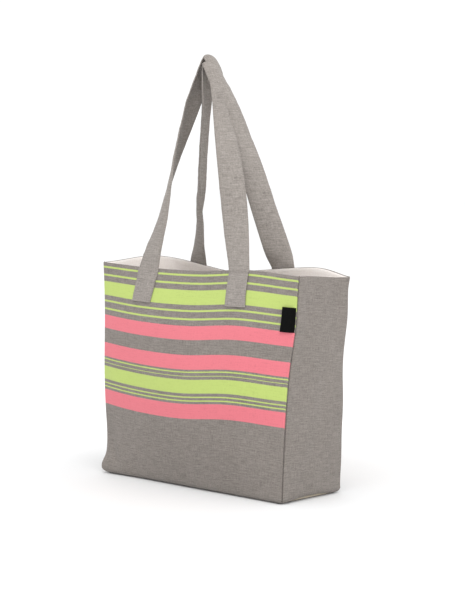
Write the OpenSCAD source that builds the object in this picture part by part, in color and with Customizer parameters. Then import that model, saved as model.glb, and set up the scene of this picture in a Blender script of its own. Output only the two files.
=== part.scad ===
// Canvas tote bag: four wall panels on a flat base, a full lining, two shoulder straps and a
// side label. The walls are curved sheets that share their corner seams, and every wall is
// worked out from the same outline functions. Origin: middle of the base, on the ground.
// +X runs along the front panel to its right, +Y from the front panel to the back panel.

/* [Body] */
// Height from the ground to the rim
body_h = 330; // [280:1:380]
// Width of the base
base_w = 378; // [340:1:420]
// Depth of the base
base_d = 136; // [110:1:150]
// Width of the mouth
rim_w = 416; // [390:1:450]
// Depth of the mouth at its two ends
rim_d = 108; // [90:1:120]
// How far the middle of the front rim hangs inwards
front_pull = 9; // [0:1:14]
// How far the middle of the back rim hangs inwards
back_pull = 30; // [10:1:34]
// How far the front and back panels belly out at half height
belly = 25; // [8:1:28]
// How far the side gussets belly out at half height
side_belly = 6; // [2:1:10]

/* [Cloth] */
// Thickness of the canvas
canvas_t = 1.6; // [1.2:0.1:2]
// Thickness of the lining
lining_t = 0.8; // [0.6:0.1:1]
// Thickness of the board that keeps the base flat
board_t = 2.4; // [1.5:0.1:3]

/* [Straps] */
// Width of a strap
strap_w = 42; // [34:1:44]
// Thickness of a strap
strap_t = 3; // [2.4:0.1:3.4]
// Distance between the middles of a strap's two ends
strap_spacing = 194; // [180:1:210]
// Height of the front strap's crown above the rim
strap_rise = 317; // [290:1:340]
// Length of each sewn end, down from the rim
tab_len = 52; // [40:1:60]
// How much narrower a strap is at its crown, where it gathers
gather = 8; // [4:1:10]

/* [Label] */
// How far the label reaches from the seam
label_w = 29; // [20:1:32]
// Height of the label
label_h = 35; // [25:1:40]
// Height of the label's lower edge above the ground
label_z = 243; // [200:1:260]

/* [Hidden] */
canvas_grey = [0.59, 0.56, 0.54];
lining_cream = [0.86, 0.83, 0.81];

// The lowest strip of each wall rolls under the base
roll_h = 16;
roll_in = 5;
seam_curve = 2.1;   // above 1, the corner seams flare towards the rim
wall_rows = 16;     // steps in a wall's height
wide_steps = 20;    // steps across the front and back panels
side_steps = 6;     // steps across a gusset
fit = 0.5;          // gap round the pieces laid in the base

function share(z) = z / body_h;
function roll(z) = z < roll_h ? roll_in * pow(1 - z / roll_h, 2) : 0;
function half_w(z) = base_w / 2 + (rim_w - base_w) / 2 * pow(share(z), seam_curve) - roll(z);
function half_d(z) = base_d / 2 + (rim_d - base_d) / 2 * share(z) - roll(z);
function swell(z) = 4 * share(z) * (1 - share(z));
function wide_y(u, z, pull) =
    half_d(z) + belly * (1 - u * u) * swell(z) - pull * pow(1 - u * u, 2) * pow(share(z), 3);

// Points of a wall's face at height z, set inwards by inset; u and v run from -1 to 1
function front_point(u, z, inset) = [(half_w(z) - inset) * u, inset - wide_y(u, z, front_pull), z];
function back_point(u, z, inset) = [(inset - half_w(z)) * u, wide_y(u, z, back_pull) - inset, z];
function right_point(v, z, inset) =
    [half_w(z) - inset + side_belly * (1 - v * v) * swell(z), (half_d(z) - inset) * v, z];
function left_point(v, z, inset) =
    [inset - half_w(z) - side_belly * (1 - v * v) * swell(z), (inset - half_d(z)) * v, z];
function wall_point(wall, u, z, inset) =
    wall == "front" ? front_point(u, z, inset)
    : wall == "back" ? back_point(u, z, inset)
    : wall == "right" ? right_point(u, z, inset)
    : left_point(u, z, inset);

function reversed(list) = [for (i = [len(list) - 1:-1:0]) list[i]];

// One closed loop of a wall: along its outer face, then back along its inner face
function wall_ring(wall, z, low_u, high_u, steps, outer, inner) =
    let (across = [for (i = [0:steps]) low_u + (high_u - low_u) * i / steps])
    concat(
        [for (u = across) wall_point(wall, u, z, outer)],
        [for (u = reversed(across)) wall_point(wall, u, z, inner)]
    );

// A solid through closed loops of points, each counter-clockwise seen from the last loop's side.
// Point i of a loop lies across the sheet from point n - 1 - i, so the ends close as strips. The
// two faces of a sheet are split along the same diagonals, so layers that touch fit each other.
module skin(rings) {
    n = len(rings[0]);
    last = len(rings) - 1;
    sides = [
        for (r = [0:last - 1], i = [0:n - 1])
            let (a = r * n + i, b = r * n + (i + 1) % n)
            each i < n / 2 ? [[a, a + n, b], [b, a + n, b + n]] : [[a, a + n, b + n], [a, b + n, b]]
    ];
    first_end = [
        for (i = [0:n / 2 - 2])
            each [[i, i + 1, n - 1 - i], [i + 1, n - 2 - i, n - 1 - i]]
    ];
    last_end = [for (t = first_end) last * n * [1, 1, 1] + reversed(t)];
    polyhedron([for (ring = rings) each ring], concat(sides, first_end, last_end), convexity = 8);
}

// A wall sheet between two insets, its rows closer together where it rolls under the base
module wall(name, steps, outer, inner) {
    low = canvas_t;
    skin([
        for (r = [0:wall_rows])
            let (z = low + (body_h - low) * pow(r / wall_rows, 1.4))
            wall_ring(name, z, -1, 1, steps, outer, inner)
    ]);
}

module canvas_wall(name, steps) {
    color(canvas_grey) wall(name, steps, 0, canvas_t);
}

module lining_wall(name, steps) {
    color(lining_cream) wall(name, steps, canvas_t, canvas_t + lining_t);
}

module front_panel() { canvas_wall("front", wide_steps); }
module back_panel() { canvas_wall("back", wide_steps); }
module left_gusset() { canvas_wall("left", side_steps); }
module right_gusset() { canvas_wall("right", side_steps); }
module front_lining() { lining_wall("front", wide_steps); }
module back_lining() { lining_wall("back", wide_steps); }
module left_lining() { lining_wall("left", side_steps); }
module right_lining() { lining_wall("right", side_steps); }

// A flat piece of the base, its edges set in from the walls' lowest outline
module base_sheet(z, thick, inset) {
    translate([0, 0, z + thick / 2])
        cube([2 * (half_w(0) - inset), 2 * (half_d(0) - inset), thick], center = true);
}

module base_panel() {
    color(canvas_grey) base_sheet(0, canvas_t, 0);
}

module base_board() {
    color("tan") base_sheet(canvas_t, board_t, canvas_t + lining_t + fit);
}

module base_lining() {
    color(lining_cream) base_sheet(canvas_t + board_t, lining_t, canvas_t + lining_t + fit);
}

// Where a strap end's middle and edges lie across a wide panel, as u at the rim
tab_u = strap_spacing / rim_w;
tab_half_u = strap_w / rim_w;
tab_rows = 5;
tab_steps = 4;
tab_gap = 0.3;      // clears the panel's facets

// A sewn strap end lies on the panel's outer face
module tab(wall, side) {
    color(canvas_grey) skin([
        for (r = [0:tab_rows])
            let (z = body_h - tab_len * (1 - r / tab_rows))
            wall_ring(wall, z, side * tab_u - tab_half_u, side * tab_u + tab_half_u,
                tab_steps, -tab_gap - strap_t, -tab_gap)
    ]);
}

module front_left_tab() { tab("front", -1); }
module front_right_tab() { tab("front", 1); }
module back_left_tab() { tab("back", 1); }
module back_right_tab() { tab("back", -1); }

// Tacking: a row of stitches across each strap end near its foot, and one under the rim
stitch_len = 2.6;
stitch_t = 0.7;
stitch_count = 8;
stitch_reach = 1.7;  // a row's length over half a strap's width
stitch_gap = 0.5;
stitch_drop = [8, tab_len - 5];   // distances down from the rim

module tab_stitches(wall) {
    color("dimgray")
        for (side = [-1, 1], drop = stitch_drop, i = [0:stitch_count - 1]) {
            across = ((i + 0.5) / stitch_count - 0.5) * stitch_reach;
            point = wall_point(wall, side * tab_u + across * tab_half_u, body_h - drop,
                -tab_gap - strap_t - stitch_gap - stitch_t / 2);
            translate(point) cube([stitch_len, stitch_t, stitch_t], center = true);
        }
}

module front_tab_stitches() { tab_stitches("front"); }
module back_tab_stitches() { tab_stitches("back"); }

// A strap's loop. q runs from -1 at its left end over the crown at 0 to 1 at its right end.
hinge_gap = 0.5;    // the loop starts this far above the rim
crown_round = 0.13; // rounds the crown's point
crown_power = 0.715;
flat_until = 0.28;  // inside this q the strap lies across the mouth, outside it twists flat
strap_rings = 44;
front_crown_y = -10;
back_crown_y = 4;
back_drop = 20;     // the back strap's crown is this much lower, under the front one
back_narrow = 0.2;  // and its loop this much narrower there
crown_tilt = 15;    // the front strap's crown slopes down to the back

function arch(q) = pow(q * q + crown_round * crown_round, crown_power);
function drop(q) = (arch(q) - arch(0)) / (arch(1) - arch(0));
function ease(t) = t * t * (3 - 2 * t);
function twist(q) = let (t = max(0, (abs(q) - flat_until) / (1 - flat_until))) 90 * ease(t);
function rim_y(pull) = wide_y(tab_u, body_h, pull) + tab_gap + strap_t / 2;

function loop_centre(q, foot_y, crown_y, rise, narrow) = [
    strap_spacing / 2 * q * (1 - narrow * (1 - abs(q))),
    crown_y + (foot_y - crown_y) * drop(q),
    body_h + hinge_gap + rise * (1 - drop(q))
];

// From the far edge to the near edge: along X at the feet and along -Y at the crown
function loop_edge(q, tilt) =
    let (
        turn = -90 - sign(q) * twist(q),
        slope = tilt * (1 - ease(min(1, abs(q) / 0.6)))
    )
    [cos(turn) * cos(slope), sin(turn) * cos(slope), sin(slope)];

function unit(v) = v / norm(v);

function loop_ring(q, foot_y, crown_y, rise, narrow, tilt) =
    let (
        e = 0.001,
        low = max(-1, q - e),
        high = min(1, q + e),
        middle = loop_centre(q, foot_y, crown_y, rise, narrow),
        along = unit(loop_centre(high, foot_y, crown_y, rise, narrow)
            - loop_centre(low, foot_y, crown_y, rise, narrow)),
        edge = loop_edge(q, tilt),
        face = unit(cross(edge, along)),
        half = (strap_w - gather * (1 - abs(q))) / 2 * edge,
        thick = strap_t / 2 * face
    )
    [middle - half - thick, middle - half + thick, middle + half + thick, middle + half - thick];

module strap_loop(foot_y, crown_y, rise, narrow, tilt) {
    color(canvas_grey) skin([
        for (i = [0:strap_rings])
            loop_ring(2 * i / strap_rings - 1, foot_y, crown_y, rise, narrow, tilt)
    ]);
}

module front_strap() {
    strap_loop(-rim_y(front_pull), front_crown_y, strap_rise, 0, crown_tilt);
}

module back_strap() {
    strap_loop(rim_y(back_pull), back_crown_y, strap_rise - back_drop, back_narrow, 0);
}

// The folded label stands out of the front right seam and lies over the front panel
label_t = 0.8;
label_lift = 0.6;   // gap between the label and the panel
label_steps = 5;

module label() {
    color([0.05, 0.05, 0.05]) skin([
        for (r = [0:1])
            let (z = label_z + label_h * r, u0 = 1 - label_w / half_w(z))
            wall_ring("front", z, u0, 1, label_steps, -label_lift - label_t, -label_lift)
    ]);
}

front_panel();
back_panel();
left_gusset();
right_gusset();
base_panel();
front_lining();
back_lining();
left_lining();
right_lining();
base_lining();
base_board();
front_left_tab();
front_right_tab();
back_left_tab();
back_right_tab();
front_tab_stitches();
back_tab_stitches();
front_strap();
back_strap();
label();
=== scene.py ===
import bpy
import math
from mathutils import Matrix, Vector, noise


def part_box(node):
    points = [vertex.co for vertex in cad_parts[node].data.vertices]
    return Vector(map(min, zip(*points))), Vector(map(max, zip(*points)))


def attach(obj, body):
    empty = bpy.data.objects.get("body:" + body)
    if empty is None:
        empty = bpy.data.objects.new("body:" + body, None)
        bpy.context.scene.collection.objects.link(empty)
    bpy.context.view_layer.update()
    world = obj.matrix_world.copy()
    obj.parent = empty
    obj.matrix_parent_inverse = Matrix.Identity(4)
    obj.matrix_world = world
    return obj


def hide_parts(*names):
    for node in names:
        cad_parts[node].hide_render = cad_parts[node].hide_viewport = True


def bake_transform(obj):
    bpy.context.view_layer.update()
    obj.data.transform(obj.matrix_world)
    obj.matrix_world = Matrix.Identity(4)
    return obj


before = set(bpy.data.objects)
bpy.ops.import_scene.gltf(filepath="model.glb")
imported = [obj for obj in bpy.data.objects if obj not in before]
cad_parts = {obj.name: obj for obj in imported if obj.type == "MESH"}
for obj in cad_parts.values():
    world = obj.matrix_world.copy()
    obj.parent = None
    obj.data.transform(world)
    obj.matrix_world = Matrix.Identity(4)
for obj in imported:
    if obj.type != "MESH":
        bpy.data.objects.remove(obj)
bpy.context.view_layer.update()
view = bpy.context.scene

# camera, looking at the bag from its front right, from a little above the rim
shot = {
    "turn": 43.85,       # degrees round to the right from straight ahead
    "rise": 5.56,        # degrees above level
    "distance": 3.044,
    "lens": 120.5,
    "aim": (0.0243, 0.0, 0.2832),
}


def backFrom(turn, rise):
    a, e = math.radians(turn), math.radians(rise)
    return Vector((math.sin(a) * math.cos(e), -math.cos(a) * math.cos(e), math.sin(e)))


aim = Vector(shot["aim"])
lensData = bpy.data.cameras.new("shotCamera")
lensData.lens = shot["lens"]
lensData.sensor_width = 36
lensData.clip_end = 50
camera = bpy.data.objects.new("shotCamera", lensData)
view.collection.objects.link(camera)
camera.location = aim + backFrom(shot["turn"], shot["rise"]) * shot["distance"]
camera.rotation_euler = (aim - camera.location).to_track_quat("-Z", "Y").to_euler()
view.camera = camera
print("camera placed")

# shape of the bag, in metres
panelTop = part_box("front_panel")[1]
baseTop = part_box("base_panel")[1]
bag = {
    "height": panelTop[2],
    "mouthHalf": panelTop[0],          # half the mouth's width
    "baseHalf": baseTop[0] + 0.005,    # the walls roll in by this much at the floor
    "baseDepth": baseTop[1] + 0.005,
    "mouthDepth": 0.054,
    "flare": 2.1,
    "belly": 0.025,
    "sideBelly": 0.006,
    "frontPull": 0.009,
    "backPull": 0.030,
    "frontLift": (0.0015, -0.0022, -0.0013, 0.0061, 0.0031),
    "backLift": (0.0068, 0.0064, 0.0036, -0.0010, -0.0055, -0.0015, 0.0040, 0.0068, -0.0040),
    "lip": 0.0014,          # radius of the rounded edges along a corner seam
    "tuck": 0.0006,         # how far their ends go on into the seam
    "fold": 0.0013,         # radius of the folded rim
    "floorRoll": 0.008,     # radius where the walls turn under
    "floorClear": 0.0009,   # height of the turned-under edges
    "canvas": 0.0009,
    "lining": 0.0005,
    "step": 0.0028,         # size of the mesh squares
    "flatStep": 0.006,      # and in the two base sheets
    "hem": 0.006,           # turn-in past the rim fold and past the floor roll
    "overRim": 0.009,       # length of cloth before the rim, where the stripes' count starts
    "archUp": 0.0042,       # how far the gussets' lower edges lift off the floor
}
top = bag["height"]


def ease(t):
    t = min(1.0, max(0.0, t))
    return t * t * (3 - 2 * t)


def smoothThrough(values, t):
    # a smooth curve through evenly spaced values, t from 0 to 1
    place = min(len(values) - 1.0001, max(0.0, t * (len(values) - 1)))
    i = int(place)
    f = place - i
    a = values[max(0, i - 1)]
    b = values[i]
    c = values[i + 1]
    d = values[min(len(values) - 1, i + 2)]
    slopeB = (c - a) / 2
    slopeC = (d - b) / 2
    return (b * (2 * f ** 3 - 3 * f ** 2 + 1) + slopeB * (f ** 3 - 2 * f ** 2 + f)
            + c * (3 * f ** 2 - 2 * f ** 3) + slopeC * (f ** 3 - f ** 2))


def halfWidth(z):
    share = max(0.0, z / top)
    return bag["baseHalf"] + (bag["mouthHalf"] - bag["baseHalf"]) * share ** bag["flare"]


def halfDepth(z):
    return bag["baseDepth"] + (bag["mouthDepth"] - bag["baseDepth"]) * z / top


def swell(z):
    share = min(1.0, max(0.0, z / top))
    return 4 * share * (1 - share)


# how the corner seams stray from a straight line: (height, spread, outwards in x, outwards in y)
corners = {
    (-1, -1): ((0.012, 0.015, 0.0060, 0.0050), (0.062, 0.034, -0.0010, -0.0010),
               (0.160, 0.085, 0.0026, 0.0026)),
    (1, -1): ((0.012, 0.015, 0.0008, 0.0008), (0.258, 0.052, 0.0030, -0.0026)),
    (1, 1): ((0.012, 0.030, -0.0018, -0.0018), (0.140, 0.040, 0.0014, 0.0014), (0.275, 0.050, 0.0032, 0.0032),
             (0.338, 0.020, 0.0030, 0.0030)),
    (-1, 1): ((0.012, 0.015, 0.0010, 0.0010), (0.060, 0.034, -0.0014, -0.0014)),
}


def cornerPush(sideX, sideY, z):
    push = Vector((0, 0, 0))
    for height, spread, outX, outY in corners[(sideX, sideY)]:
        push += Vector((sideX * outX, sideY * outY, 0)) * math.exp(-((z - height) / spread) ** 2)
    return push


def clothWave(point, seed):
    # soft handling creases, larger ones first
    at = point + Vector((seed, seed * 0.7, 0))
    wide = noise.noise(at * 9) * 0.0024
    middle = noise.noise(Vector((at.x * 16, at.y * 16, at.z * 30))) * 0.0009
    small = noise.noise(at * 60) * 0.00025
    return wide + middle + small


def creaseAt(p, z, lineP, lineZ, angle, length, width, depth):
    # one dent along a short line on a wall
    dp, dz = p - lineP, z - lineZ
    along = dp * math.cos(angle) + dz * math.sin(angle)
    across = -dp * math.sin(angle) + dz * math.cos(angle)
    return -depth * math.exp(-(along / length) ** 2 - (across / width) ** 2)


# dents: wall, place across, height, angle, length, width, depth
creases = [
    ("front", -0.163, 0.030, 2.2, 0.018, 0.0055, 0.0030),
    ("front", -0.172, 0.052, 1.9, 0.022, 0.008, 0.0024),
    ("front", 0.150, 0.022, 0.5, 0.030, 0.007, 0.0016),
    ("front", -0.020, 0.205, 0.1, 0.070, 0.014, 0.0014),
    ("front", 0.085, 0.262, 1.2, 0.022, 0.009, 0.0012),
    ("front", -0.060, 0.300, 0.2, 0.050, 0.010, 0.0010),
    ("right", 0.038, 0.040, 1.57, 0.020, 0.0045, 0.0022),
    ("right", 0.012, 0.150, 1.5, 0.070, 0.014, 0.0026),
    ("right", -0.012, 0.060, 1.2, 0.035, 0.010, 0.0018),
    ("left", 0.010, 0.140, 1.6, 0.070, 0.015, 0.0024),
    ("left", -0.036, 0.036, 1.4, 0.020, 0.006, 0.0020),
    ("back", 0.060, 0.120, 0.3, 0.060, 0.012, 0.0020),
    ("back", -0.110, 0.060, 0.9, 0.030, 0.009, 0.0018),
    ("back", 0.020, 0.240, 0.2, 0.060, 0.012, 0.0016),
]


def wallPoint(wall, p, z, depth=0.0, roll=0.0):
    # p is the place across the wall, depth is inwards, roll takes the whole outline inwards
    wide = wall in ("front", "back")
    w, d = halfWidth(z), halfDepth(z)
    half = w if wide else d
    u = min(1.0, max(-1.0, p / max(0.001, half - roll)))
    calm = (1 - u ** 6) * (0.25 + 0.75 * ease((top - z) / 0.05)) * ease((z + 0.006) / 0.03)
    share = min(1.0, max(0.0, z / top))
    if wide:
        pull = bag["frontPull"] if wall == "front" else bag["backPull"]
        out = d - roll + bag["belly"] * (1 - u * u) * swell(z) - pull * (1 - u * u) ** 2 * share ** 3
        lift = smoothThrough(bag["frontLift" if wall == "front" else "backLift"], (u + 1) / 2)
        y = -1 if wall == "front" else 1
        point = Vector((p, y * (out - depth), z + lift * share ** 2))
        outward = Vector((0, y, 0))
        sides = ((-1, y), (1, y))
    else:
        x = 1 if wall == "right" else -1
        out = w - roll + bag["sideBelly"] * (1 - u * u) * swell(z)
        end = 4 if x > 0 else 0
        near, far = bag["frontLift"][end], bag["backLift"][2 * end]
        lift = near + (far - near) * ease((u + 1) / 2)
        arch = bag["archUp"] * (1 - u * u) ** 2 * math.exp(-max(0.0, z) / 0.03)
        point = Vector((x * (out - depth), p, z + lift * share ** 2 + arch))
        outward = Vector((x, 0, 0))
        sides = ((x, -1), (x, 1))
    wave = clothWave(point, 3.1 if wide else 7.7) * calm
    for crease in creases:
        if crease[0] == wall:
            wave += creaseAt(p, z, *crease[1:]) * min(1.0, calm * 1.5)
    point += outward * wave
    for k, (sideX, sideY) in enumerate(sides):
        near = ease((abs(u) - 0.55) / 0.38) if (u > 0) == (k == 1) else 0.0
        if near > 0:
            point += cornerPush(sideX, sideY, z) * near
    return point


# sheets of cloth, and the mesh that bands and stitches share
def meshPiece(name, verts, faces, places=None, shades=None):
    # places are the cloth's UV in metres, shades the painted shade at each vertex, deepest in seam grooves,
    # creases and along edges
    mesh = bpy.data.meshes.new(name)
    mesh.from_pydata(verts, [], faces)
    if places:
        uv = mesh.uv_layers.new(name="cloth")
        for loop in mesh.loops:
            uv.data[loop.index].uv = places[loop.vertex_index]
        # the painted shade is kept as a per-vertex attribute for the materials
        seam = mesh.attributes.new("seam", "FLOAT", "POINT")
        seam.data.foreach_set("value", shades)
    mesh.update()
    piece = bpy.data.objects.new(name, mesh)
    view.collection.objects.link(piece)
    return piece


def gridPiece(name, rows, flip=False):
    # rows of (point, (u, v), painted shade) become one quad sheet
    cells = [cell for row in rows for cell in row]
    n = len(rows[0])
    faces = []
    for r in range(len(rows) - 1):
        for c in range(n - 1):
            quad = (r * n + c, r * n + c + 1, (r + 1) * n + c + 1, (r + 1) * n + c)
            faces.append(quad[::-1] if flip else quad)
    points, places, shades = zip(*cells)
    return meshPiece(name, points, faces, places, shades)


def onlySelect(piece):
    bpy.ops.object.select_all(action="DESELECT")
    piece.select_set(True)
    bpy.context.view_layer.objects.active = piece


def thicken(piece, amount):
    onlySelect(piece)
    shell = piece.modifiers.new("thickness", "SOLIDIFY")
    shell.thickness = amount
    shell.offset = -1
    shell.use_even_offset = False
    bpy.ops.object.modifier_apply(modifier=shell.name)


def smooth(piece, angle=50):
    onlySelect(piece)
    bpy.ops.object.shade_smooth_by_angle(angle=math.radians(angle))


def acrossPlaces(half, steps, lip, tuck):
    # places across a wall: flat, then over each rounded lip into the seam; (place, inwards, painted shade
    # that deepens into the seam's groove)
    flat = half - lip * (1 + math.sqrt(2))    # so that the bends of two walls meet on the corner's diagonal
    places = [(flat * (2 * i / steps - 1), 0.0, 0.0) for i in range(steps + 1)]
    bend = []
    for i in range(1, 7):
        angle = math.radians(135) * i / 6
        bend.append((flat + lip * math.sin(angle), lip * (1 - math.cos(angle)), (i / 6) ** 2))
    diagonal = tuck * math.sqrt(0.5)
    bend.append((bend[-1][0] - diagonal, bend[-1][1] + diagonal, 1.0))
    return [(-a, b, c) for a, b, c in reversed(bend)] + places + bend


def upProfile():
    # heights of the rows with how far the outline is taken in: hem, rim fold, wall, floor roll
    fold, roll = bag["fold"], bag["floorRoll"]
    rows = [(top - fold - bag["hem"], 2 * fold)]
    for i in range(9):
        angle = math.pi * (1 - i / 8)
        rows.append((top - fold + fold * math.sin(angle), fold * (1 - math.cos(angle))))
    steps = round((top - fold - roll) / bag["step"])
    for i in range(1, steps + 1):
        rows.append((top - fold - (top - fold - roll) * i / steps, 0.0))
    for i in range(1, 8):
        angle = math.pi / 2 * i / 7
        rows.append((roll * (1 - math.sin(angle)) + bag["floorClear"], roll * (1 - math.cos(angle))))
    rows.append((bag["floorClear"], roll + bag["hem"]))
    return rows


def canvasWall(name, wall):
    wide = wall in ("front", "back")
    steps = round(2 * (bag["mouthHalf"] if wide else bag["mouthDepth"]) / bag["step"])
    rows = []
    run = None
    previous = None
    for z, roll in upProfile():
        half = (halfWidth(z) if wide else halfDepth(z)) - roll
        cells = []
        # the hem inside the rim is trimmed back at the corners, so that it doesn't show past the lining
        trim = 1 - 0.85 * ease(roll / (2 * bag["fold"])) if z > top - 0.02 else 1
        for p, inwards, shade in acrossPlaces(half, steps, bag["lip"] * trim, bag["tuck"] * trim):
            cells.append((wallPoint(wall, p, z, inwards, roll), p, shade))
        if previous is None:
            run = [-bag["overRim"]] * len(cells)
        else:
            # down the wall the cloth is counted by height alone, round the rim and floor by its length
            run = [r + (b[0].z - a[0].z if b[0].z - a[0].z > 0.001 else (a[0] - b[0]).length)
                   for r, a, b in zip(run, cells, previous)]
        rows.append([(c[0], (c[1], r), c[2]) for c, r in zip(cells, run)])
        previous = cells
    flip = wall in ("front", "right")
    piece = gridPiece(name, rows, flip)
    thicken(piece, bag["canvas"])
    smooth(piece)
    return piece


walls = {
    "frontPanel": canvasWall("frontPanel", "front"),
    "backPanel": canvasWall("backPanel", "back"),
    "leftGusset": canvasWall("leftGusset", "left"),
    "rightGusset": canvasWall("rightGusset", "right"),
}
print("canvas walls sewn")

# lining and base
inside = {
    "depth": 0.0036,        # how far the lining lies inside the canvas's outer face
    "slack": 0.0016,        # loose creases, always inwards
    "coarser": 1.2,         # its mesh squares against the canvas's
    "floor": 0.0052,        # height of the base lining
    "edge": 0.009,          # how far the base lining stops short of the walls' outer faces
    "lip": ((0.0016, 0.0018), (0.0007, 0.0023), (0.0009, 0.0029), (0.0020, 0.0034)),   # down, inwards
}


def liningWall(name, wall):
    wide = wall in ("front", "back")
    steps = round(2 * (bag["mouthHalf"] if wide else bag["mouthDepth"]) / (bag["step"] * inside["coarser"]))
    heights = [(top - down, inwards) for down, inwards in inside["lip"]]
    start = heights[-1][0]
    count = round((top - inside["floor"]) / (bag["step"] * inside["coarser"]))
    for i in range(1, count + 1):
        heights.append((start - (start - inside["floor"]) * i / count, inside["depth"]))
    rows = []
    for z, roll in heights:
        floorTake = bag["floorRoll"] * (1 - math.sqrt(max(0.0, 1 - max(0.0, 1 - z / bag["floorRoll"]) ** 2)))
        taken = roll + floorTake
        half = (halfWidth(z) if wide else halfDepth(z)) - taken
        cells = []
        for i in range(steps + 1):
            p = half * (2 * i / steps - 1)
            u = p / half
            loose = (0.5 + 0.5 * noise.noise(Vector((p * 22, z * 13, 5.0 if wide else 9.0))))
            loose += 0.35 * noise.noise(Vector((p * 50, z * 34, 2.0)))
            slack = inside["slack"] * max(0.0, loose) * (1 - u ** 8) * ease((top - z) / 0.03)
            # painted shade along the lining's corner seams
            shade = math.exp(-((1 - abs(u)) * half / 0.0015) ** 2)
            cells.append((wallPoint(wall, p, z, slack, taken), (p, top - z), shade))
        rows.append(cells)
    piece = gridPiece(name, rows, wall in ("back", "left"))
    thicken(piece, bag["lining"])
    smooth(piece)
    return piece


def flatSheet(name, halfX, halfY, z, cloth, faceUp, wave):
    # a sheet lying in the base, its corners rounded off
    stepsX, stepsY = round(2 * halfX / bag["flatStep"]), round(2 * halfY / bag["flatStep"])
    rows = []
    for j in range(stepsY + 1):
        v = 2 * j / stepsY - 1
        cells = []
        for i in range(stepsX + 1):
            u = 2 * i / stepsX - 1
            squeeze = 1 - 0.012 * (u * v) ** 6
            x, y = halfX * u * squeeze, halfY * v * squeeze
            rise = wave * (0.5 + 0.5 * noise.noise(Vector((x * 15, y * 15, z * 100))))
            rise *= (1 - u ** 8) * (1 - v ** 8)
            # painted shade along the sheet's edges, where the base meets the walls
            shade = 0.6 * math.exp(-(min(halfX - abs(x), halfY - abs(y)) / 0.0015) ** 2)
            cells.append((Vector((x, y, z + rise)), (x, y), shade))
        rows.append(cells)
    piece = gridPiece(name, rows, not faceUp)
    thicken(piece, cloth)
    smooth(piece)
    return piece


linings = {
    "frontLining": liningWall("frontLining", "front"),
    "backLining": liningWall("backLining", "back"),
    "leftLining": liningWall("leftLining", "left"),
    "rightLining": liningWall("rightLining", "right"),
    "baseLining": flatSheet("baseLining", halfWidth(0) - inside["edge"], halfDepth(0) - inside["edge"],
                            inside["floor"], bag["lining"], True, wave=0.0008),
}
underside = bag["floorRoll"] + 0.0005
baseHeight = 0.0004
walls["basePanel"] = flatSheet("basePanel", halfWidth(0) - underside, halfDepth(0) - underside,
                               baseHeight, bag["canvas"], False, wave=0.0)
print("lining and base laid in")


# straps, each one band of folded canvas from one sewn end over its crown to the other
strapCloth = {
    "width": 0.042,
    "thick": 0.0026,
    "clear": 0.0004,        # how far a sewn end is set off the canvas, before its creases
    "columns": 16,
    "tabRings": 16,         # rings along each sewn end
    "loopRings": 150,       # and round the loop
    "sewn": 0.052,          # length of each sewn end
    "stitchAt": 0.88,       # topstitching, as a share of the half width
    "crownRound": 0.09,
    "crownPower": 0.715,
    "creases": 0.0005,
    "drift": 0.004,         # slow wander of the loop to the front and back
    "pinchAt": 0.80,        # where a leg is pinched and leans, 0 at the crown and 1 at the rim
    "pinchSpan": 0.12,
}
straps = {
    "front": {
        "feet": ((-0.1090, 0.0905), (-0.1055, 0.0850)),   # across, at the foot and at the rim
        "crown": (-0.0115, -0.0105, 0.6512),
        "tilt": 17.0,
        "narrow": 0.0,
        "cup": 0.85,
        "pinch": (0.35, 0.0),
        "lean": (-0.001, 0.0),
        "taper": 0.21,
        "twistFrom": 0.36,        # it turns a quarter from here down to the rim
        "twistPower": 1.08,
        "seed": 1.5,
    },
    "back": {
        "feet": ((-0.0830, 0.0945), (-0.0835, 0.0940)),
        "crown": (-0.0060, -0.0165, 0.6400),
        "tilt": 15.0,
        "narrow": 0.05,
        "cup": 0.75,
        "pinch": (0.75, 0.1),
        "lean": (-0.0055, -0.0015),
        "taper": 0.12,
        "earlyTwist": 28,         # degrees turned near the crown
        # and from 0.6 of the way down to the rim, for the left leg and the right one
        "lateTwist": ((0, 0, 1, 5, 13, 24, 33, 42, 54), (0, 0, 0, 2, 5, 10, 16, 28, 54)),
        "seed": 6.5,
    },
}


def arch(q):
    return (q * q + strapCloth["crownRound"] ** 2) ** strapCloth["crownPower"]


def dropAt(q):
    return (arch(q) - arch(0)) / (arch(1) - arch(0))


def twistAt(side, end, q):
    # degrees turned from the way the crown faces
    shape = straps[side]
    if side == "front":
        start = shape["twistFrom"]
        return 90 * max(0.0, (q - start) / (1 - start)) ** shape["twistPower"]
    return shape["earlyTwist"] * ease(q / 0.42) + smoothThrough(shape["lateTwist"][end], (q - 0.6) / 0.4)


def pinchAt(q):
    return math.exp(-((q - strapCloth["pinchAt"]) / strapCloth["pinchSpan"]) ** 2)


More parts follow.
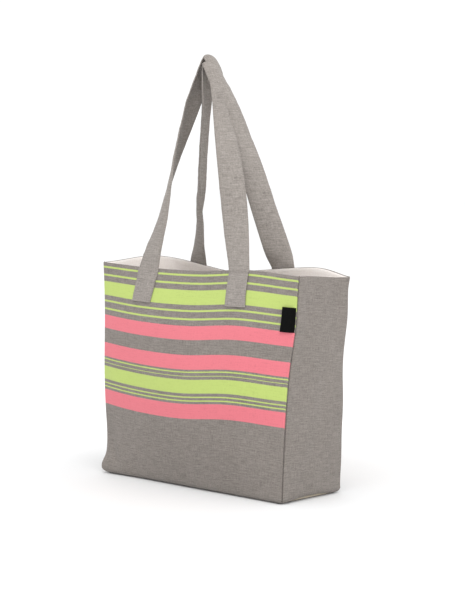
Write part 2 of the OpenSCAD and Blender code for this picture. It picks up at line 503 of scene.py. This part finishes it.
def strapRings(side):
    # one (middle, edge direction, face direction, half width, cup, length so far) for each ring
    shape = straps[side]
    cloth = strapCloth
    lifted = -(cloth["thick"] / 2 + cloth["clear"])
    crown = Vector(shape["crown"])
    tab, loop = cloth["tabRings"], cloth["loopRings"]
    stops = [("tab", 0, i / tab) for i in range(tab)]
    stops += [("loop", -1 + 2 * i / loop, 0) for i in range(loop + 1)]
    stops += [("tab", 1, 1 - i / tab) for i in range(1, tab + 1)]
    middles, edges, halves, cups = [], [], [], []
    for kind, a, b in stops:
        # on a sewn end a is which end and b the way up it, on the loop a runs from -1 to 1
        end = 0 if (kind == "tab" and a == 0) or (kind == "loop" and a < 0) else 1
        footX, rimX = shape["feet"][0][end], shape["feet"][1][end]
        rimPoint = wallPoint(side, rimX, top, lifted)
        sign = -1 if end == 0 else 1
        if kind == "tab":
            x = footX + (rimX - footX) * b
            z = top - cloth["sewn"] * (1 - b)
            middle = wallPoint(side, x, z, lifted)
            tangent = wallPoint(side, x + 0.01, z, lifted) - wallPoint(side, x - 0.01, z, lifted)
            edge = -tangent.normalized() * sign
            q = 1.0
        else:
            q = abs(a)
            fall = dropAt(a)
            rim = rimPoint + Vector((0, 0, 0.0005))
            middle = crown + (rim - crown) * fall
            spread = q * (1 - shape["narrow"] * (1 - q))
            middle.x = crown.x + (rimX - crown.x) * spread
            middle.x += shape["lean"][end] * pinchAt(q)
            turn = math.radians(-90 - sign * twistAt(side, end, q))
            slope = math.radians(shape["tilt"]) * (1 - ease(q / 0.6))
            level = math.cos(slope)
            edge = Vector((math.cos(turn) * level, math.sin(turn) * level, math.sin(slope)))
            drift = noise.noise(Vector((a * 2.2, shape["seed"], 0))) * cloth["drift"]
            middle.y += drift * ease(q / 0.2) * ease((1 - q) / 0.2)
        middles.append(middle)
        edges.append(edge)
        halves.append(cloth["width"] / 2 * (1 - shape["taper"] * (1 - q)))
        curl = shape["cup"] * ease((1 - q) / 0.75)
        curl += shape["pinch"][end] * pinchAt(q)
        cups.append(0.04 + curl)
    rings = []
    run = 0.0
    for i, middle in enumerate(middles):
        low, high = middles[max(0, i - 1)], middles[min(len(middles) - 1, i + 1)]
        along = (high - low).normalized()
        face = edges[i].cross(along).normalized()
        if i:
            run += (middle - middles[i - 1]).length
        rings.append((middle, edges[i], face, halves[i], cups[i], run))
    return rings


def bandPoint(ring, c, level, seed):
    # c from -1 to 1 across the band; level 1 is its outer face, -1 its inner face
    middle, edge, face, half, cup, run = ring
    t = strapCloth["thick"] / 2 * math.sqrt(max(0.0, 1 - abs(c) ** 9))
    t -= 0.00022 * math.exp(-((abs(c) - strapCloth["stitchAt"]) / 0.03) ** 2)
    crumple = noise.noise(Vector((c * 1.1, run * 150, seed))) * strapCloth["creases"]
    crumple += noise.noise(Vector((c * 0.7, run * 45, seed + 2))) * strapCloth["creases"] * 1.3
    crumple += noise.noise(Vector((c * 0.5, run * 16, seed + 4))) * strapCloth["creases"] * 1.6
    angle = cup * c
    across = half * math.sin(angle) / cup
    sag = half * (1 - math.cos(angle)) / cup
    normal = (face * math.cos(angle) + edge * math.sin(angle)).normalized()
    return middle + edge * across - face * sag + normal * (level * t + crumple), normal


def strapBand(name, side):
    rings = strapRings(side)
    n = strapCloth["columns"]
    places = [math.sin(math.pi / 2 * (2 * i / n - 1)) for i in range(n + 1)]
    verts, faces, uvs, shades = [], [], [], []
    seed = straps[side]["seed"]
    sewn, whole = strapCloth["sewn"], rings[-1][5]
    for ring in rings:
        # painted shade where it creases over the rim
        fromRim = min(abs(ring[5] - sewn), abs(whole - ring[5] - sewn))
        rimShade = 0.5 * math.exp(-(fromRim / 0.0012) ** 2)
        for level, row in ((1, places), (-1, places[::-1])):
            for c in row[(0 if level > 0 else 1):(None if level > 0 else -1)]:
                verts.append(bandPoint(ring, c, level, seed)[0])
                uvs.append((c * strapCloth["width"] / 2, ring[5]))
                # painted shade along the topstitching grooves and along the folded edges
                stitchShade = 0.45 * math.exp(-((abs(c) - strapCloth["stitchAt"]) / 0.035) ** 2)
                shades.append(min(1.0, stitchShade + 0.35 * abs(c) ** 30 + rimShade))
    m = 2 * n
    for r in range(len(rings) - 1):
        for c in range(m):
            d = (c + 1) % m
            faces.append((r * m + c, r * m + d, (r + 1) * m + d, (r + 1) * m + c))
    faces.append(tuple(range(m))[::-1])
    faces.append(tuple((len(rings) - 1) * m + c for c in range(m)))
    piece = meshPiece(name, verts, faces, uvs, shades)
    onlySelect(piece)
    bpy.ops.object.mode_set(mode="EDIT")
    bpy.ops.mesh.select_all(action="SELECT")
    bpy.ops.mesh.normals_make_consistent(inside=False)
    bpy.ops.object.mode_set(mode="OBJECT")
    smooth(piece, 60)
    return piece, rings


# stitches, each a small grain of thread
thread = {"length": 0.0024, "gap": 0.0034, "thick": 0.00045}


def modelGrain():
    # one stitch, fat in the middle and thin at its ends; the copies lie half sunk in the cloth
    bpy.ops.object.select_all(action="DESELECT")
    bpy.ops.mesh.primitive_uv_sphere_add(segments=8, ring_count=6, radius=0.5, rotation=(0, math.pi / 2, 0))
    grain = bpy.context.object
    grain.scale = (thread["thick"] * 0.8, thread["thick"], thread["length"])
    bpy.ops.object.transform_apply(location=False, rotation=True, scale=True)
    shape = [vertex.co.copy() for vertex in grain.data.vertices]
    faces = [tuple(face.vertices) for face in grain.data.polygons]
    bpy.data.objects.remove(grain)
    return shape, faces


grainShape, grainFaces = modelGrain()


def stitchPiece(name, places):
    # the grain copied to each (point, along, up)
    verts, faces = [], []
    for point, along, up in places:
        side = up.cross(along).normalized()
        first = len(verts)
        verts += [point + along * v.x + side * v.y + up * v.z for v in grainShape]
        faces += [tuple(first + i for i in face) for face in grainFaces]
    piece = meshPiece(name, verts, faces)
    smooth(piece, 60)
    return piece


def edgeStitches(name, rings, seed):
    places = []
    for c in (-strapCloth["stitchAt"], strapCloth["stitchAt"]):
        for level in (1, -1):
            following = thread["gap"]
            for a, b in zip(rings, rings[1:]):
                while following < b[5]:
                    share = (following - a[5]) / max(1e-6, b[5] - a[5])
                    one, normal = bandPoint(a, c, level, seed)
                    two = bandPoint(b, c, level, seed)[0]
                    places.append((one.lerp(two, share), (two - one).normalized(), normal * level))
                    following += thread["gap"]
    return stitchPiece(name, places)


def tackStitches(name, rings, seed, level):
    # rows across each sewn end, near its foot and just under the rim
    places = []
    count = 10
    for r in (2, 3, 14, len(rings) - 3, len(rings) - 4, len(rings) - 15):
        for i in range(count):
            c = (2 * (i + 0.5) / count - 1) * 0.82
            point, normal = bandPoint(rings[r], c, level, seed)
            places.append((point, rings[r][1], normal * level))
    return stitchPiece(name, places)


frontBand, frontRings = strapBand("frontStrapBand", "front")
backBand, backRings = strapBand("backStrapBand", "back")
frontEdging = edgeStitches("frontStrapEdging", frontRings, straps["front"]["seed"])
backEdging = edgeStitches("backStrapEdging", backRings, straps["back"]["seed"])
frontTacks = tackStitches("frontTacks", frontRings, straps["front"]["seed"], 1)
backTacks = tackStitches("backTacks", backRings, straps["back"]["seed"], -1)
print("straps twisted and stitched")


# side label, a ribbon folded in half with its ends in the corner seam
tag = {
    "low": 0.2495,
    "high": 0.2850,
    "reach": 0.0218,
    "lift": 0.0008,
    "thick": 0.0004,
    "fold": 0.0006,
    "climb": 0.006,         # distance over which it comes out of the seam
    "curl": 0.0005,
    "steps": 12,
    "rows": 16,
}


def sideLabel(name):
    # around the ribbon: out along the upper layer, round the fold, back along the lower one
    path = []
    steps, count = tag["steps"], tag["rows"]
    for i in range(steps + 1):
        path.append((tag["reach"] * i / steps, 2 * tag["fold"]))
    for i in range(1, 7):
        angle = math.pi * i / 7
        path.append((tag["reach"] + tag["fold"] * math.sin(angle), tag["fold"] * (1 + math.cos(angle))))
    for i in range(steps + 1):
        path.append((tag["reach"] * (1 - i / steps), 0.0))
    rows = []
    for j in range(count + 1):
        z = tag["low"] + (tag["high"] - tag["low"]) * j / count
        edge = halfWidth(z) - bag["lip"] * 1.7
        cells = []
        run = 0.0
        for k, (reach, rise) in enumerate(path):
            lie = ease(reach / tag["climb"])
            curl = tag["curl"] * (reach / tag["reach"]) ** 2 * (1 + 0.5 * math.sin(j / count * 3.0))
            depth = bag["lip"] * 1.2 * (1 - lie) - tag["lift"] * lie - rise - curl
            cells.append((wallPoint("front", edge - reach, z, depth), (run, z), 0.0))
            if k + 1 < len(path):
                run += math.dist(path[k], path[k + 1])
        rows.append(cells)
    piece = gridPiece(name, rows)
    thicken(piece, tag["thick"])
    smooth(piece)
    return piece


label = sideLabel("sideLabel")
print("label folded")


# materials
def newMaterial(name):
    material = bpy.data.materials.new(name)
    material.use_nodes = True
    tree = material.node_tree
    tree.nodes.clear()
    output = tree.nodes.new("ShaderNodeOutputMaterial")
    shader = tree.nodes.new("ShaderNodeBsdfPrincipled")
    tree.links.new(shader.outputs["BSDF"], output.inputs["Surface"])
    return material, tree, shader


def sums(tree, kind, a, b=None, c=None):
    node = tree.nodes.new("ShaderNodeMath")
    node.operation = kind
    for socket, value in zip(node.inputs, (a, b, c)):
        if value is None:
            continue
        if isinstance(value, (int, float)):
            socket.default_value = value
        else:
            tree.links.new(value, socket)
    return node.outputs[0]


def mixed(tree, factor, first, second, kind="MIX"):
    node = tree.nodes.new("ShaderNodeMix")
    node.data_type = "RGBA"
    node.blend_type = kind
    for socket, value in ((node.inputs[0], factor), (node.inputs[6], first), (node.inputs[7], second)):
        if isinstance(value, (int, float)):
            socket.default_value = value
        elif isinstance(value, tuple):
            socket.default_value = (*value, 1)
        else:
            tree.links.new(value, socket)
    return node.outputs[2]


def speckle(tree, source, scale, detail=2.0, rough=0.5):
    # noise stretched by its own scale in each direction of the cloth
    mapping = tree.nodes.new("ShaderNodeMapping")
    mapping.inputs["Scale"].default_value = (scale[0], scale[1], 1)
    tree.links.new(source, mapping.inputs["Vector"])
    grain = tree.nodes.new("ShaderNodeTexNoise")
    grain.inputs["Scale"].default_value = 1
    grain.inputs["Detail"].default_value = detail
    grain.inputs["Roughness"].default_value = rough
    tree.links.new(mapping.outputs["Vector"], grain.inputs["Vector"])
    return grain.outputs["Fac"]


def linear(r, g, b):
    return tuple(((c / 255 + 0.055) / 1.055) ** 2.4 if c > 10 else c / 255 / 12.92 for c in (r, g, b))


def fabric(name, look, stripes=None):
    material, tree, shader = newMaterial(name)
    coordinates = tree.nodes.new("ShaderNodeUVMap")
    coordinates.uv_map = "cloth"
    cloth = coordinates.outputs["UV"]
    parts = tree.nodes.new("ShaderNodeSeparateXYZ")
    tree.links.new(cloth, parts.inputs[0])
    u, v = parts.outputs[0], parts.outputs[1]
    # plain weave: warp and weft threads pass over each other in turn
    waver = speckle(tree, cloth, (60, 60))
    warp = sums(tree, "SINE", sums(tree, "MULTIPLY_ADD", waver, look["waver"],
                                   sums(tree, "MULTIPLY", u, math.pi / look["pitch"])))
    weft = sums(tree, "SINE", sums(tree, "MULTIPLY_ADD", waver, look["waver"],
                                   sums(tree, "MULTIPLY", v, math.pi / look["pitch"])))
    over = sums(tree, "MULTIPLY_ADD", sums(tree, "MULTIPLY", warp, weft), 0.5, 0.5)
    high = sums(tree, "MULTIPLY", sums(tree, "ABSOLUTE", warp), over)
    low = sums(tree, "MULTIPLY", sums(tree, "ABSOLUTE", weft), sums(tree, "SUBTRACT", 1, over))
    weave = sums(tree, "ADD", high, low)
    # slubs run with the weft, thinner ones with the warp
    slubs = speckle(tree, cloth, look["weftSlubs"], 3, 0.6)
    strands = speckle(tree, cloth, look["warpSlubs"], 2, 0.5)
    flecks = speckle(tree, cloth, look["flecks"], 3, 0.65)
    cloud = speckle(tree, cloth, (9, 9), 2)
    tone = sums(tree, "MULTIPLY_ADD", slubs, look["slubShare"],
                sums(tree, "MULTIPLY", strands, look["strandShare"]))
    tone = sums(tree, "ADD", tone, sums(tree, "MULTIPLY", flecks, look["fleckShare"]))
    tone = sums(tree, "ADD", tone, sums(tree, "MULTIPLY", cloud, look["cloudShare"]))
    tone = sums(tree, "ADD", tone, sums(tree, "MULTIPLY", weave, look["weaveShare"]))
    noises = sum(look[k] for k in ("slubShare", "strandShare", "fleckShare", "cloudShare"))
    usual = noises * 0.5 + look["weaveShare"] * 0.45
    tone = sums(tree, "MULTIPLY_ADD", sums(tree, "SUBTRACT", tone, usual), look["contrast"], 0.5)
    clamp = tree.nodes.new("ShaderNodeClamp")
    tree.links.new(tone, clamp.inputs["Value"])
    tone = clamp.outputs[0]
    colour = mixed(tree, tone, linear(*look["dark"]), linear(*look["light"]))
    if stripes:
        edge = sums(tree, "MULTIPLY_ADD", sums(tree, "SUBTRACT", flecks, 0.5), stripes["fuzz"], v)
        ramp = tree.nodes.new("ShaderNodeValToRGB")
        ramp.color_ramp.interpolation = "CONSTANT"
        tree.links.new(sums(tree, "DIVIDE", edge, stripes["reach"]), ramp.inputs["Fac"])
        points = ramp.color_ramp.elements
        points[0].color = (0, 0, 0, 0)
        points.remove(points[1])
        for start, width, dye in stripes["bands"]:
            on = points.new(start / stripes["reach"])
            on.color = (*linear(*stripes[dye]), 1)
            off = points.new((start + width) / stripes["reach"])
            off.color = (0, 0, 0, 0)
        shaded = mixed(tree, sums(tree, "MULTIPLY_ADD", tone, stripes["shade"], 1 - stripes["shade"] * 0.5),
                       (0, 0, 0), ramp.outputs["Color"])
        cover = sums(tree, "MULTIPLY", ramp.outputs["Alpha"],
                     sums(tree, "MULTIPLY_ADD", weave, 0.10, stripes["cover"] - 0.05))
        colour = mixed(tree, cover, colour, shaded)
    # painted shade: the colour is darkened towards the look's shade colour by the per-vertex painted shade
    seam = tree.nodes.new("ShaderNodeAttribute")
    seam.attribute_name = "seam"
    colour = mixed(tree, sums(tree, "MULTIPLY", seam.outputs["Fac"], look["seamShade"]), colour,
                   linear(*look["seamColour"]))
    tree.links.new(colour, shader.inputs["Base Color"])
    rough = sums(tree, "MULTIPLY_ADD", tone, -0.10, look["roughness"] + 0.05)
    tree.links.new(rough, shader.inputs["Roughness"])
    shader.inputs["Sheen Weight"].default_value = look["sheen"]
    shader.inputs["Sheen Roughness"].default_value = 0.5
    shader.inputs["Specular IOR Level"].default_value = look["gloss"]
    height = sums(tree, "MULTIPLY_ADD", slubs, 0.8, sums(tree, "MULTIPLY_ADD", flecks, 0.5, weave))
    bump = tree.nodes.new("ShaderNodeBump")
    bump.inputs["Strength"].default_value = look["bump"]
    bump.inputs["Distance"].default_value = look["relief"]
    tree.links.new(height, bump.inputs["Height"])
    tree.links.new(bump.outputs["Normal"], shader.inputs["Normal"])
    return material


# in each look the shade colour and its strength are painted shade for seam grooves, creases and edges
greyLook = {
    "dark": (88, 81, 76), "light": (151, 144, 138), "seamColour": (84, 77, 73), "seamShade": 0.75,
    "pitch": 0.00085, "waver": 1.2, "weftSlubs": (55, 620), "warpSlubs": (900, 70), "flecks": (330, 520),
    "slubShare": 1.0, "strandShare": 0.6, "fleckShare": 0.9, "cloudShare": 0.25, "weaveShare": 0.35,
    "contrast": 1.0, "roughness": 0.86, "sheen": 0.12, "gloss": 0.25, "bump": 0.55, "relief": 0.0004,
}
stripeSet = {
    "reach": 0.24, "fuzz": 0.0009, "shade": 0.45, "cover": 0.92,
    "lime": (184, 204, 111), "pink": (225, 118, 130),
    "bands": (
        (0.0052, 0.0026, "lime"), (0.0172, 0.0028, "lime"), (0.0284, 0.0222, "lime"),
        (0.0580, 0.0026, "lime"), (0.0702, 0.0026, "lime"), (0.0808, 0.0206, "pink"),
        (0.1238, 0.0217, "pink"), (0.1490, 0.0016, "lime"), (0.1547, 0.0016, "lime"),
        (0.1608, 0.0210, "lime"), (0.1862, 0.0016, "lime"), (0.1918, 0.0016, "lime"),
        (0.1972, 0.0228, "pink"),
    ),
}
strapLook = dict(greyLook, dark=(99, 93, 88), light=(170, 163, 157), seamColour=(92, 85, 80), seamShade=0.55,
                 weftSlubs=(60, 560), warpSlubs=(800, 80))
liningLook = dict(greyLook, dark=(236, 228, 222), light=(254, 249, 245), seamColour=(170, 161, 154),
                  seamShade=0.5, pitch=0.0006, contrast=1.1, bump=0.4, relief=0.0003, roughness=0.8)
satinLook = dict(greyLook, dark=(1, 1, 1), light=(6, 6, 6), seamColour=(4, 4, 4), seamShade=0.0,
                 pitch=0.00035, weftSlubs=(40, 1500), warpSlubs=(1500, 40), flecks=(800, 800), roughness=0.62,
                 sheen=0.0, gloss=0.08, bump=0.3, relief=0.00015, contrast=0.6)
canvas = fabric("linenCanvas", greyLook)
striped = fabric("stripedCanvas", greyLook, stripeSet)
webbing = fabric("strapCanvas", strapLook)
cotton = fabric("liningCotton", liningLook)
satin = fabric("labelSatin", satinLook)


def threadMaterial():
    material, tree, shader = newMaterial("sewingThread")
    place = tree.nodes.new("ShaderNodeTexCoord")
    twist = tree.nodes.new("ShaderNodeTexNoise")
    twist.inputs["Scale"].default_value = 2600
    tree.links.new(place.outputs["Object"], twist.inputs["Vector"])
    colour = mixed(tree, twist.outputs["Fac"], linear(118, 110, 104), linear(160, 152, 146))
    tree.links.new(colour, shader.inputs["Base Color"])
    tree.links.new(sums(tree, "MULTIPLY_ADD", twist.outputs["Fac"], 0.2, 0.5), shader.inputs["Roughness"])
    shader.inputs["Sheen Weight"].default_value = 0.2
    return material


def boardMaterial():
    material, tree, shader = newMaterial("stiffenerBoard")
    place = tree.nodes.new("ShaderNodeTexCoord")
    pulp = tree.nodes.new("ShaderNodeTexNoise")
    pulp.inputs["Scale"].default_value = 240
    pulp.inputs["Detail"].default_value = 4
    tree.links.new(place.outputs["Object"], pulp.inputs["Vector"])
    colour = mixed(tree, pulp.outputs["Fac"], linear(176, 164, 144), linear(206, 196, 178))
    tree.links.new(colour, shader.inputs["Base Color"])
    tree.links.new(sums(tree, "MULTIPLY_ADD", pulp.outputs["Fac"], 0.2, 0.7), shader.inputs["Roughness"])
    bump = tree.nodes.new("ShaderNodeBump")
    bump.inputs["Distance"].default_value = 0.0002
    tree.links.new(pulp.outputs["Fac"], bump.inputs["Height"])
    tree.links.new(bump.outputs["Normal"], shader.inputs["Normal"])
    return material


sewing = threadMaterial()
board = boardMaterial()
print("materials mixed")


# each piece's finish, what it moves with and which plain shapes it stands for
def dress(piece, material, slotName, body, *nodes):
    piece.data.materials.clear()
    piece.data.materials.append(material)
    if body:
        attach(piece, body)
    if nodes:
        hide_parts(*nodes)


dress(walls["frontPanel"], striped, "striped_canvas", "bag", "front_panel")
dress(walls["backPanel"], striped, "striped_canvas", "bag", "back_panel")
dress(walls["leftGusset"], canvas, "canvas", "bag", "left_gusset")
dress(walls["rightGusset"], canvas, "canvas", "bag", "right_gusset")
dress(walls["basePanel"], canvas, "canvas", "bag", "base_panel")
dress(linings["frontLining"], cotton, "lining", "bag", "front_lining")
dress(linings["backLining"], cotton, "lining", "bag", "back_lining")
dress(linings["leftLining"], cotton, "lining", "bag", "left_lining")
dress(linings["rightLining"], cotton, "lining", "bag", "right_lining")
dress(linings["baseLining"], cotton, "lining", "bag", "base_lining")
dress(frontBand, webbing, "canvas", None, "front_strap", "front_left_tab", "front_right_tab")
dress(backBand, webbing, "canvas", None, "back_strap", "back_left_tab", "back_right_tab")
dress(frontEdging, sewing, "thread", None)
dress(backEdging, sewing, "thread", None)
dress(frontTacks, sewing, "thread", "bag", "front_tab_stitches")
dress(backTacks, sewing, "thread", "bag", "back_tab_stitches")
dress(label, satin, "label", "label", "label")
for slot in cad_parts["base_board"].material_slots:
    slot.material = board

for piece, body in ((frontBand, "front_strap"), (frontEdging, "front_strap"),
                    (backBand, "back_strap"), (backEdging, "back_strap")):
    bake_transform(piece)

print("pieces dressed")

# floor, painted darker round the bag as a painted shadow, and studio light
studio = {
    # the floor near the bag is a painted shadow, darker and slightly blue, blending out to the plain pale
    # floor between the two reaches
    "paintedShadowFloor": (0.825, 0.828, 0.832),
    "floorFar": (0.97, 0.97, 0.97),
    "nearReach": 0.25,
    "farReach": 0.6,
    "sky": 1.06,
    "key": 9.0,
    "fill": 8.0,
    "topLight": 26.0,
}
bpy.ops.object.select_all(action="DESELECT")
bpy.ops.mesh.primitive_plane_add(size=16, location=(0, 0, 0))
floor = bpy.context.object
floor.name = "floor"
floorPaint, tree, shader = newMaterial("paleFloorWithPaintedShadow")
place = tree.nodes.new("ShaderNodeTexCoord")
grain = tree.nodes.new("ShaderNodeTexNoise")
grain.inputs["Scale"].default_value = 3
tree.links.new(place.outputs["Object"], grain.inputs["Vector"])
tree.links.new(sums(tree, "MULTIPLY_ADD", grain.outputs["Fac"], 0.1, 0.6), shader.inputs["Roughness"])
away = tree.nodes.new("ShaderNodeVectorMath")
away.operation = "LENGTH"
tree.links.new(place.outputs["Object"], away.inputs[0])
reach = tree.nodes.new("ShaderNodeMapRange")
reach.inputs["From Min"].default_value = studio["nearReach"]
reach.inputs["From Max"].default_value = studio["farReach"]
reach.interpolation_type = "SMOOTHSTEP"
tree.links.new(away.outputs["Value"], reach.inputs["Value"])
# painted shadow: the floor is darker near the bag and pale further out
floorColour = mixed(tree, reach.outputs["Result"], studio["paintedShadowFloor"], studio["floorFar"])
tree.links.new(floorColour, shader.inputs["Base Color"])
shader.inputs["Specular IOR Level"].default_value = 0.1
floor.data.materials.append(floorPaint)

world = bpy.data.worlds.new("studio")
world.use_nodes = True
sky = world.node_tree.nodes["Background"]
sky.inputs["Color"].default_value = (1, 1, 1, 1)
sky.inputs["Strength"].default_value = studio["sky"]
view.world = world


def softLight(name, turn, rise, distance, size, power):
    data = bpy.data.lights.new(name, "AREA")
    data.shape = "SQUARE"
    data.size = size
    data.energy = power
    lamp = bpy.data.objects.new(name, data)
    view.collection.objects.link(lamp)
    centre = Vector((0, 0, 0.3))
    lamp.location = centre + backFrom(turn, rise) * distance
    lamp.rotation_euler = (centre - lamp.location).to_track_quat("-Z", "Y").to_euler()


softLight("keyLight", turn=62, rise=35, distance=2.6, size=1.6, power=studio["key"])
softLight("fillLight", turn=95, rise=25, distance=3.0, size=2.0, power=studio["fill"])
softLight("topLight", turn=35, rise=60, distance=2.8, size=2.2, power=studio["topLight"])
view.view_settings.view_transform = "Standard"
print("studio lit")
